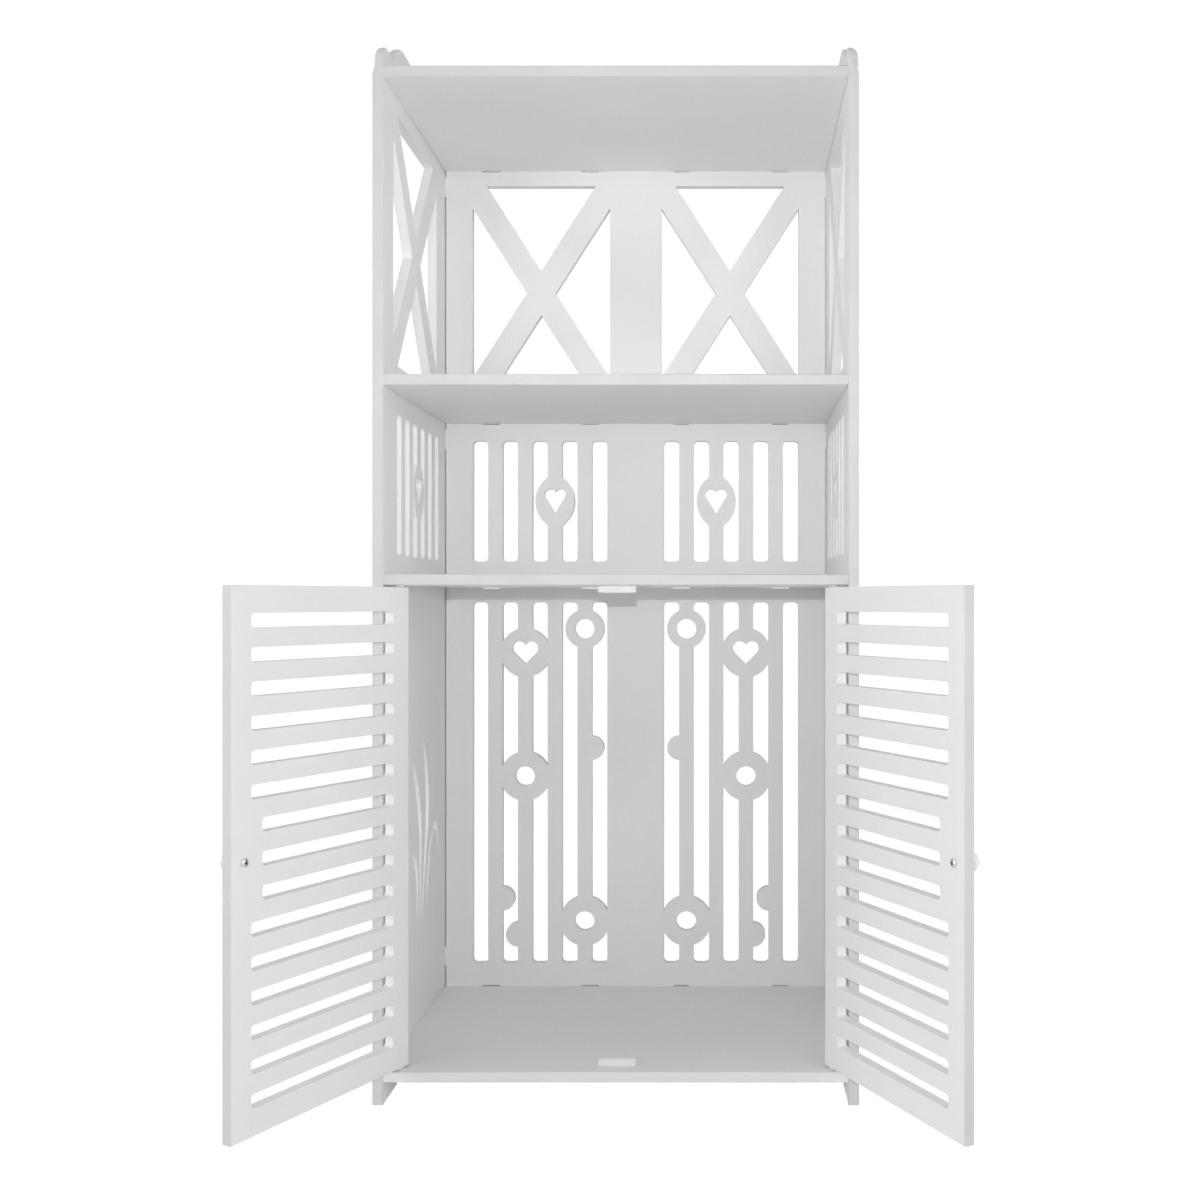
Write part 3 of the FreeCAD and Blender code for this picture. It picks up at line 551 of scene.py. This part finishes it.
def clear_side_panels(mesh):
    """Draw in the back panel's long edges between its tabs, so that a fine line shows at each corner."""
    for corner in mesh.vertices:
        if abs(abs(corner.co.x) - SIDE_INNER) < SPAN_SLACK:
            corner.co.x = math.copysign(SIDE_INNER - JOINT_GAP, corner.co.x)


def carcass_boards():
    """The boards, panels and door stops of the carcass, with eased edges."""
    ways_through = {
        "back_panel": Vector((0, 1, 0)),
        "left_side_panel": Vector((-1, 0, 0)),
        "right_side_panel": Vector((1, 0, 0)),
    }
    for node in [*ways_through, *LEVEL_BOARDS, *DOOR_STOPS]:
        mesh = frame["nodes"][node].data.copy()
        crest = CREST_FOOT if "side_panel" in node else math.inf
        mark_sheet(mesh, ways_through.get(node, Vector((0, 0, 1))), crest)
        if node == "back_panel":
            clear_side_panels(mesh)
        # Painted light: these pieces take the lighter face tone on their cut edges as well
        if node in EDGES_WITH_PAINTED_LIGHT:
            mesh.polygons.foreach_set("material_index", [FACED] * len(mesh.polygons))
        ease_edges(show(f"{node}_sheet", mesh, "carcass", [node]))


# Doors

def extruded(tree, curve, length):
    """Fill a closed curve and extrude it along Z into a closed block."""
    filled = add_node(tree, "GeometryNodeFillCurve", {"Curve": curve}, mode="NGONS").outputs["Mesh"]
    walls = add_node(
        tree, "GeometryNodeExtrudeMesh", {"Mesh": filled, "Offset Scale": length, "Individual": False}
    )
    under = add_node(tree, "GeometryNodeFlipFaces", {"Mesh": filled})
    both = add_node(tree, "GeometryNodeJoinGeometry")
    tree.links.new(walls.outputs["Mesh"], both.inputs[0])
    tree.links.new(under.outputs["Mesh"], both.inputs[0])
    merged = add_node(
        tree, "GeometryNodeMergeByDistance",
        {"Geometry": both.outputs["Geometry"], "Distance": MERGE_DISTANCE},
    )
    return merged.outputs["Geometry"]


def slot_bank_tree():
    """A row of slot cutters, one above the other, that start at a place and stand through the sheet."""
    sockets = {
        "Slot Length": "NodeSocketFloat",
        "Slot Height": "NodeSocketFloat",
        "Corner Round": "NodeSocketFloat",
        "Reach": "NodeSocketFloat",
        "Slots": "NodeSocketInt",
        "Pitch": "NodeSocketFloat",
        "Start": "NodeSocketVector",
    }
    tree, given, result = new_group(
        "slot_bank", "GeometryNodeTree", sockets, {"Cutters": "NodeSocketGeometry"}
    )
    outline = add_node(
        tree, "GeometryNodeCurvePrimitiveQuadrilateral",
        {"Width": given["Slot Length"], "Height": given["Slot Height"]},
    )
    rounded = add_node(
        tree, "GeometryNodeFilletCurve",
        {"Curve": outline.outputs["Curve"], "Radius": given["Corner Round"], "Count": ROUND_STEPS},
        mode="POLY",
    )
    block = extruded(tree, rounded.outputs["Curve"], given["Reach"])
    half_reach = calculate(tree, "MULTIPLY", given["Reach"], 0.5)
    middle = add_node(tree, "ShaderNodeCombineXYZ", {"Y": half_reach})
    upright = add_node(
        tree, "GeometryNodeTransform",
        {"Geometry": block, "Translation": middle.outputs[0], "Rotation": (QUARTER_TURN, 0, 0)},
    )
    step = add_node(tree, "ShaderNodeCombineXYZ", {"Z": given["Pitch"]})
    places = add_node(
        tree, "GeometryNodeMeshLine",
        {"Count": given["Slots"], "Start Location": given["Start"], "Offset": step.outputs[0]},
    )
    row = add_node(
        tree, "GeometryNodeInstanceOnPoints",
        {"Points": places.outputs["Mesh"], "Instance": upright.outputs["Geometry"]},
    )
    cutters = add_node(tree, "GeometryNodeRealizeInstances", {"Geometry": row.outputs["Instances"]})
    tree.links.new(cutters.outputs["Geometry"], result["Cutters"])
    return tree


def slotted_door_tree():
    """A sheet with a round hinge edge and three banks of slots; X starts at its pivot, Z at its foot."""
    sockets = {
        "Width": "NodeSocketFloat",
        "Height": "NodeSocketFloat",
        "Sheet": "NodeSocketFloat",
        "Pivot From Edge": "NodeSocketFloat",
        "Hinge Stile": "NodeSocketFloat",
        "Free Stile": "NodeSocketFloat",
        "Knob Stile": "NodeSocketFloat",
        "Slot Height": "NodeSocketFloat",
        "Slot Margin": "NodeSocketFloat",
        "Slot Round": "NodeSocketFloat",
        "Bank Slots": "NodeSocketInt",
        "Short Slots": "NodeSocketInt",
    }
    tree, given, result = new_group(
        "slotted_door", "GeometryNodeTree", sockets, {"Geometry": "NodeSocketGeometry"}
    )
    plan = add_node(
        tree, "GeometryNodeCurvePrimitiveQuadrilateral", {"Width": given["Width"], "Height": given["Sheet"]}
    )
    position = add_node(tree, "GeometryNodeInputPosition").outputs[0]
    across = add_node(tree, "ShaderNodeSeparateXYZ", {0: position})
    at_hinge = calculate(tree, "LESS_THAN", across.outputs["X"], 0.0)
    half_sheet = calculate(tree, "MULTIPLY", given["Sheet"], 0.5)
    hinge_round = calculate(tree, "MULTIPLY", half_sheet, at_hinge)
    edge_round = calculate(tree, "MAXIMUM", hinge_round, EASED_EDGE)
    rounded = add_node(
        tree, "GeometryNodeFilletCurve",
        {"Curve": plan.outputs["Curve"], "Radius": edge_round, "Limit Radius": True, "Count": ROUND_STEPS},
        mode="POLY",
    )
    half_width = calculate(tree, "MULTIPLY", given["Width"], 0.5)
    to_middle = calculate(tree, "SUBTRACT", half_width, given["Pivot From Edge"])
    from_pivot = add_node(tree, "ShaderNodeCombineXYZ", {"X": to_middle})
    board = add_node(
        tree, "GeometryNodeTransform",
        {"Geometry": extruded(tree, rounded.outputs["Curve"], given["Height"]),
         "Translation": from_pivot.outputs[0]},
    )

    both_banks = calculate(tree, "MULTIPLY", given["Bank Slots"], 2.0)
    slots = calculate(tree, "ADD", both_banks, given["Short Slots"])
    both_margins = calculate(tree, "MULTIPLY", given["Slot Margin"], 2.0)
    between = calculate(tree, "SUBTRACT", given["Height"], both_margins)
    first_to_last = calculate(tree, "SUBTRACT", between, given["Slot Height"])
    pitch = calculate(tree, "DIVIDE", first_to_last, calculate(tree, "SUBTRACT", slots, 1.0))
    half_slot = calculate(tree, "MULTIPLY", given["Slot Height"], 0.5)
    first = calculate(tree, "ADD", given["Slot Margin"], half_slot)
    hinge_end = calculate(tree, "SUBTRACT", given["Hinge Stile"], given["Pivot From Edge"])
    upper_start = calculate(tree, "ADD", given["Bank Slots"], given["Short Slots"])
    reach = calculate(tree, "MULTIPLY", given["Sheet"], CUTTER_DEPTH_IN_SHEETS)
    cutting = add_node(
        tree, "GeometryNodeMeshBoolean", {"Mesh 1": board.outputs["Geometry"]},
        operation="DIFFERENCE", solver="EXACT",
    )
    banks = (
        (0.0, given["Bank Slots"], given["Free Stile"]),
        (given["Bank Slots"], given["Short Slots"], given["Knob Stile"]),
        (upper_start, given["Bank Slots"], given["Free Stile"]),
    )
    for before, count, stile in banks:
        stiles = calculate(tree, "ADD", given["Hinge Stile"], stile)
        length = calculate(tree, "SUBTRACT", given["Width"], stiles)
        middle = calculate(tree, "ADD", hinge_end, calculate(tree, "MULTIPLY", length, 0.5))
        height = calculate(tree, "ADD", first, calculate(tree, "MULTIPLY", before, pitch))
        start = add_node(tree, "ShaderNodeCombineXYZ", {"X": middle, "Z": height})
        bank = add_node(
            tree, "GeometryNodeGroup",
            {
                "Slot Length": length,
                "Slot Height": given["Slot Height"],
                "Corner Round": given["Slot Round"],
                "Reach": reach,
                "Slots": count,
                "Pitch": pitch,
                "Start": start.outputs[0],
            },
            node_tree=SLOT_BANK,
        )
        tree.links.new(bank.outputs["Cutters"], cutting.inputs["Mesh 2"])
    whole = add_node(tree, "GeometryNodeRealizeInstances", {"Geometry": cutting.outputs["Mesh"]})
    faced = add_node(
        tree, "GeometryNodeSetMaterial", {"Geometry": whole.outputs["Geometry"], "Material": BOARD_FACE}
    )
    tree.links.new(faced.outputs["Geometry"], result["Geometry"])
    return tree


def door_place(side):
    """The frame of a door at rest: its origin on the pivot axis at floor height, X along the open door."""
    joints = {joint["name"]: joint for joint in frame["record"]["behaviour"]["joints"]}
    joint = joints[f"{side}_door_swing"]
    pivot = Vector((joint["pos_m"][0], joint["pos_m"][1], 0))
    open_angle = math.radians(joint["range_deg"][1])
    turn = -open_angle if side == "left" else HALF_TURN + open_angle
    return Matrix.Translation(pivot) @ Matrix.Rotation(turn, 4, "Z")


def door(side):
    """One slotted door, grown at its pivot and set open as it rests."""
    sizes = {
        "Width": DOOR_WIDTH,
        "Height": DOOR_TOP - DOOR_BOTTOM,
        "Sheet": BOARD,
        "Pivot From Edge": PIVOT_FROM_EDGE,
        "Hinge Stile": HINGE_STILE,
        "Free Stile": FREE_STILE,
        "Knob Stile": KNOB_STILE,
        "Slot Height": SLOT_HEIGHT,
        "Slot Margin": SLOT_MARGIN,
        "Slot Round": SLOT_ROUND,
        "Bank Slots": BANK_SLOTS,
        "Short Slots": SHORT_SLOTS,
    }
    node = f"{side}_door"
    mesh = grow(f"{node}_sheet", bpy.data.meshes.new(f"{node}_seed"), SLOTTED_DOOR, sizes)
    mark_sheet(mesh, Vector((0, 1, 0)))
    mesh.transform(door_place(side) @ Matrix.Translation((0, 0, DOOR_BOTTOM)))
    ease_edges(show(f"{node}_sheet", mesh, f"{side}_leaf", [node]))


def pivot_pins(side):
    """The two pins of a door, each with a collar that fills the gap between the door and its board."""
    profile = [
        (0, -PIN_SEAT),
        (PIN_RADIUS, -PIN_SEAT),
        (PIN_RADIUS, 0),
        (PIN_COLLAR - PIN_EASE, 0),
        (PIN_COLLAR, PIN_EASE),
        (PIN_COLLAR, DOOR_GAP - PIN_EASE),
        (PIN_COLLAR - PIN_EASE, DOOR_GAP),
        (PIN_RADIUS, DOOR_GAP),
        (PIN_RADIUS, DOOR_GAP + PIN_TIP - PIN_EASE),
        (PIN_RADIUS - PIN_EASE, DOOR_GAP + PIN_TIP),
        (0, DOOR_GAP + PIN_TIP),
    ]
    for end, height, turn in (("upper", DOOR_TOP, 0), ("lower", DOOR_BOTTOM, HALF_TURN)):
        place = door_place(side) @ Matrix.Translation((0, 0, height)) @ Matrix.Rotation(turn, 4, "X")
        node = f"{side}_door_{end}_pin"
        show(f"{node}_nylon", lathe(node, profile, PIN_NYLON, place), f"{side}_leaf", [node])


# Knobs and screws

def knob_place(side, outward):
    """The frame of a fitting on a door face at the knob: Z points outward (1) or inward (-1)."""
    facing = SIDES[side] * outward
    along = DOOR_WIDTH - PIVOT_FROM_EDGE - KNOB_FROM_EDGE
    spot = Matrix.Translation((along, facing * BOARD / 2, (DOOR_BOTTOM + DOOR_TOP) / 2))
    return door_place(side) @ spot @ Matrix.Rotation(-facing * QUARTER_TURN, 4, "X")


def knob(side):
    """The round knob on the outer face of a door, with a bore for its screw."""
    foot = (KNOB_FOOT, 0)
    neck = (KNOB_NECK, KNOB_NECK_HEIGHT)
    widest = (KNOB_RADIUS, KNOB_WIDEST)
    profile = [
        (0, KNOB_BORE_DEPTH),
        (KNOB_BORE, KNOB_BORE_DEPTH),
        (KNOB_BORE, 0),
        *bowed(foot, neck, -KNOB_FOOT_HOLLOW),
        *bowed(neck, widest, KNOB_FLARE_BOW),
        *domed(widest, KNOB_HEIGHT, 2 * ARC_STEPS),
        (0, KNOB_HEIGHT),
    ]
    node = f"{side}_knob"
    mesh = lathe(node, profile, KNOB_WHITE, knob_place(side, 1))
    show(f"{node}_moulding", mesh, f"{side}_leaf", [node])


def driven_screws_tree():
    """Screws with a cross recess, one on each point of the geometry, turned to face one way."""
    sockets = {
        "Geometry": "NodeSocketGeometry",
        "Screw": "NodeSocketObject",
        "Recess Length": "NodeSocketFloat",
        "Recess Width": "NodeSocketFloat",
        "Recess Depth": "NodeSocketFloat",
        "Head Height": "NodeSocketFloat",
        "Facing": "NodeSocketVector",
        "Seed": "NodeSocketInt",
    }
    tree, given, result = new_group(
        "driven_screws", "GeometryNodeTree", sockets, {"Geometry": "NodeSocketGeometry"}
    )
    turned = add_node(tree, "GeometryNodeObjectInfo", {"Object": given["Screw"]})
    double_depth = calculate(tree, "MULTIPLY", given["Recess Depth"], 2.0)
    bar_size = add_node(
        tree, "ShaderNodeCombineXYZ",
        {"X": given["Recess Length"], "Y": given["Recess Width"], "Z": double_depth},
    )
    bar = add_node(tree, "GeometryNodeMeshCube", {"Size": bar_size.outputs[0]})
    at_head = add_node(tree, "ShaderNodeCombineXYZ", {"Z": given["Head Height"]})
    cutting = add_node(
        tree, "GeometryNodeMeshBoolean", {"Mesh 1": turned.outputs["Geometry"]},
        operation="DIFFERENCE", solver="EXACT",
    )
    for turn in (0.0, QUARTER_TURN):
        arm = add_node(
            tree, "GeometryNodeTransform",
            {"Geometry": bar.outputs["Mesh"], "Translation": at_head.outputs[0], "Rotation": (0, 0, turn)},
        )
        # The cutters carry the recess's painted shade onto the faces they cut
        dark = add_node(
            tree, "GeometryNodeSetMaterial", {"Geometry": arm.outputs["Geometry"], "Material": SCREW_RECESS_PAINTED_SHADE}
        )
        tree.links.new(dark.outputs["Geometry"], cutting.inputs["Mesh 2"])
    clean = add_node(
        tree, "GeometryNodeMergeByDistance",
        {"Geometry": cutting.outputs["Mesh"], "Distance": MERGE_DISTANCE},
    )
    spin = add_node(tree, "FunctionNodeRandomValue", {"Max": QUARTER_TURN, "Seed": given["Seed"]})
    # A Random Value node has an output for each kind of value, and only the one in use is enabled
    spin_value = next(socket for socket in spin.outputs if socket.enabled)
    own_turn = add_node(tree, "ShaderNodeCombineXYZ", {"Z": spin_value})
    turn_rotation = add_node(tree, "FunctionNodeEulerToRotation", {0: own_turn.outputs[0]})
    facing = add_node(tree, "FunctionNodeEulerToRotation", {0: given["Facing"]})
    rotation = add_node(
        tree, "FunctionNodeRotateRotation", {0: facing.outputs[0], 1: turn_rotation.outputs[0]},
        rotation_space="LOCAL",
    )
    row = add_node(
        tree, "GeometryNodeInstanceOnPoints",
        {
            "Points": given["Geometry"],
            "Instance": clean.outputs["Geometry"],
            "Rotation": rotation.outputs[0],
        },
    )
    whole = add_node(tree, "GeometryNodeRealizeInstances", {"Geometry": row.outputs["Instances"]})
    # The recess faces keep their painted shade; the rest of the screw is plated
    recess = add_node(tree, "GeometryNodeMaterialSelection", {"Material": SCREW_RECESS_PAINTED_SHADE})
    outside = add_node(tree, "FunctionNodeBooleanMath", {0: recess.outputs[0]}, operation="NOT")
    plated = add_node(
        tree, "GeometryNodeSetMaterial",
        {"Geometry": whole.outputs["Geometry"], "Selection": outside.outputs[0], "Material": SCREW_ZINC},
    )
    tree.links.new(plated.outputs["Geometry"], result["Geometry"])
    return tree


def screws(name, points, profile, head_radius, head_height, facing):
    """Grow screws of one profile on points; Z of the profile points out of the head."""
    pattern = bpy.data.objects.new(f"{name}_pattern", lathe(f"{name}_turned", profile, SCREW_ZINC))
    bpy.context.collection.objects.link(pattern)
    places = bpy.data.meshes.new(f"{name}_places")
    places.from_pydata(points, [], [])
    sizes = {
        "Screw": pattern,
        "Recess Length": RECESS_SPAN * head_radius,
        "Recess Width": RECESS_WIDTH,
        "Recess Depth": RECESS_DEPTH,
        "Head Height": head_height,
        "Facing": facing,
        "Seed": SCREW_SEED,
    }
    mesh = grow(name, places, DRIVEN_SCREWS, sizes)
    bpy.data.objects.remove(pattern)
    return mesh


def knob_screw(side):
    """The pan head screw that holds a knob from the inner face of its door."""
    rim = (KNOB_SCREW_HEAD, KNOB_SCREW_RIM)
    profile = [
        (0, -KNOB_SCREW_REACH),
        (KNOB_SCREW_SHANK, -KNOB_SCREW_REACH),
        (KNOB_SCREW_SHANK, 0),
        (KNOB_SCREW_HEAD, 0),
        *domed(rim, KNOB_SCREW_HEIGHT),
        (0, KNOB_SCREW_HEIGHT),
    ]
    node = f"{side}_knob_screw"
    mesh = screws(node, [(0, 0, 0)], profile, KNOB_SCREW_HEAD, KNOB_SCREW_HEIGHT, (0, 0, 0))
    mesh.transform(knob_place(side, -1))
    show(f"{node}_pan_head", mesh, f"{side}_leaf", [node])


def panel_screws(side):
    """The countersunk screws that hold the boards to one side panel, flush with its outer face."""
    head_depth = PANEL_SCREW_HEAD - PANEL_SCREW_SHANK
    profile = [
        (0, -PANEL_SCREW_LENGTH),
        (PANEL_SCREW_SHANK, -PANEL_SCREW_LENGTH),
        (PANEL_SCREW_SHANK, -head_depth),
        (PANEL_SCREW_HEAD, 0),
        (0, 0),
    ]
    outer_x = SIDES[side] * SIDE_OUTER
    depths = (FRONT_Y + PANEL_SCREW_INSET, BACK_Y - BOARD - PANEL_SCREW_INSET)
    heights = [sum(corner.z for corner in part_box(board)) / 2 for board in LEVEL_BOARDS]
    points = [(outer_x, depth, height) for height in heights for depth in depths]
    node = f"{side}_panel_screws"
    facing = (0, SIDES[side] * QUARTER_TURN, 0)
    mesh = screws(node, points, profile, PANEL_SCREW_HEAD, 0, facing)
    show(f"{node}_zinc", mesh, "carcass", [node])


# Studio

def sweep():
    """A pale floor that curves up into a backdrop; it looks white and keeps a soft shadow."""
    profile = [(SWEEP_FRONT, 0.0)]
    for step in range(COVE_STEPS + 1):
        angle = QUARTER_TURN * step / COVE_STEPS
        back = SWEEP_BACK - COVE_RADIUS + COVE_RADIUS * math.sin(angle)
        profile.append((back, COVE_RADIUS - COVE_RADIUS * math.cos(angle)))
    profile.append((SWEEP_BACK, SWEEP_HEIGHT))
    shape = bmesh.new()
    left = [shape.verts.new((-SWEEP_HALF_WIDTH, *place)) for place in profile]
    right = [shape.verts.new((SWEEP_HALF_WIDTH, *place)) for place in profile]
    for low in range(len(profile) - 1):
        shape.faces.new((left[low], right[low], right[low + 1], left[low + 1])).smooth = True
    mesh = bpy.data.meshes.new("studio_sweep")
    shape.to_mesh(mesh)
    shape.free()
    floor = bpy.data.objects.new("studio_sweep", mesh)
    bpy.context.collection.objects.link(floor)
    mesh.materials.append(sweep_paper())


def seen_directly(tree):
    """1 for rays from the camera, a mirror or glass, and 0 for rays that only carry light."""
    path = add_node(tree, "ShaderNodeLightPath").outputs
    shiny = calculate(tree, "MAXIMUM", path["Is Glossy Ray"], path["Is Transmission Ray"])
    return calculate(tree, "MAXIMUM", path["Is Camera Ray"], shiny)


def sweep_paper():
    """Paper that lights like paper, and looks white but for shadows where it is seen directly."""
    material = bpy.data.materials.new("sweep_paper")
    material.use_nodes = True
    tree = material.node_tree
    tree.nodes.clear()
    paper = add_node(tree, "ShaderNodeBsdfDiffuse", {"Color": (PAPER_TONE, PAPER_TONE, PAPER_TONE, 1)})
    shadow = add_node(tree, "ShaderNodeBsdfDiffuse", {"Color": (SHADOW_TONE, SHADOW_TONE, SHADOW_TONE, 1)})
    glow = add_node(tree, "ShaderNodeEmission", {"Color": (1, 1, 1, 1), "Strength": PAPER_GLOW})
    bright = add_node(tree, "ShaderNodeAddShader", {0: shadow.outputs[0], 1: glow.outputs[0]})
    look = add_node(
        tree, "ShaderNodeMixShader", {0: seen_directly(tree), 1: paper.outputs[0], 2: bright.outputs[0]}
    )
    add_node(tree, "ShaderNodeOutputMaterial", {"Surface": look.outputs[0]})
    return material


def lights():
    """An even sky, a small lamp just above the camera, a fill for the shelves and two softboxes."""
    world = bpy.data.worlds.new("studio")
    bpy.context.scene.world = world
    world.use_nodes = True
    tree = world.node_tree
    tree.nodes.clear()
    strength = add_node(
        tree, "ShaderNodeMapRange", {"Value": seen_directly(tree), "To Min": SKY_LIGHT, "To Max": SKY_SEEN}
    )
    sky = add_node(
        tree, "ShaderNodeBackground", {"Color": (1, 1, 1, 1), "Strength": strength.outputs["Result"]}
    )
    add_node(tree, "ShaderNodeOutputWorld", {"Surface": sky.outputs[0]})
    for name, lamp in LAMPS.items():
        light = bpy.data.lights.new(name, "AREA")
        light.shape = "SQUARE"
        light.size = lamp["size"]
        light.spread = lamp["spread"]
        light.energy = lamp["power"]
        holder = bpy.data.objects.new(name, light)
        holder.location = lamp["place"]
        holder.rotation_euler = (lamp["aim"] - lamp["place"]).to_track_quat("-Z", "Y").to_euler()
        holder.visible_camera = False
        bpy.context.collection.objects.link(holder)


def camera():
    """A level camera at the photograph's viewpoint."""
    lens = bpy.data.cameras.new("viewpoint")
    lens.sensor_width = SENSOR
    lens.lens = SENSOR * FOCAL_PIXELS / FRAME_PIXELS
    lens.shift_x = (FRAME_PIXELS / 2 - VIEW_X_PIXEL) / FRAME_PIXELS
    viewpoint = bpy.data.objects.new("viewpoint", lens)
    viewpoint.location = (CAMERA_X, FRONT_Y - CAMERA_DISTANCE, CAMERA_HEIGHT)
    viewpoint.rotation_euler = (QUARTER_TURN, 0, 0)
    bpy.context.collection.objects.link(viewpoint)
    bpy.context.scene.camera = viewpoint


SLOT_BANK = slot_bank_tree()
SLOTTED_DOOR = slotted_door_tree()
DRIVEN_SCREWS = driven_screws_tree()

carcass_boards()
for side in SIDES:
    panel_screws(side)
    door(side)
    pivot_pins(side)
    knob(side)
    knob_screw(side)
sweep()
lights()
camera()
bpy.context.scene.view_settings.view_transform = "Standard"
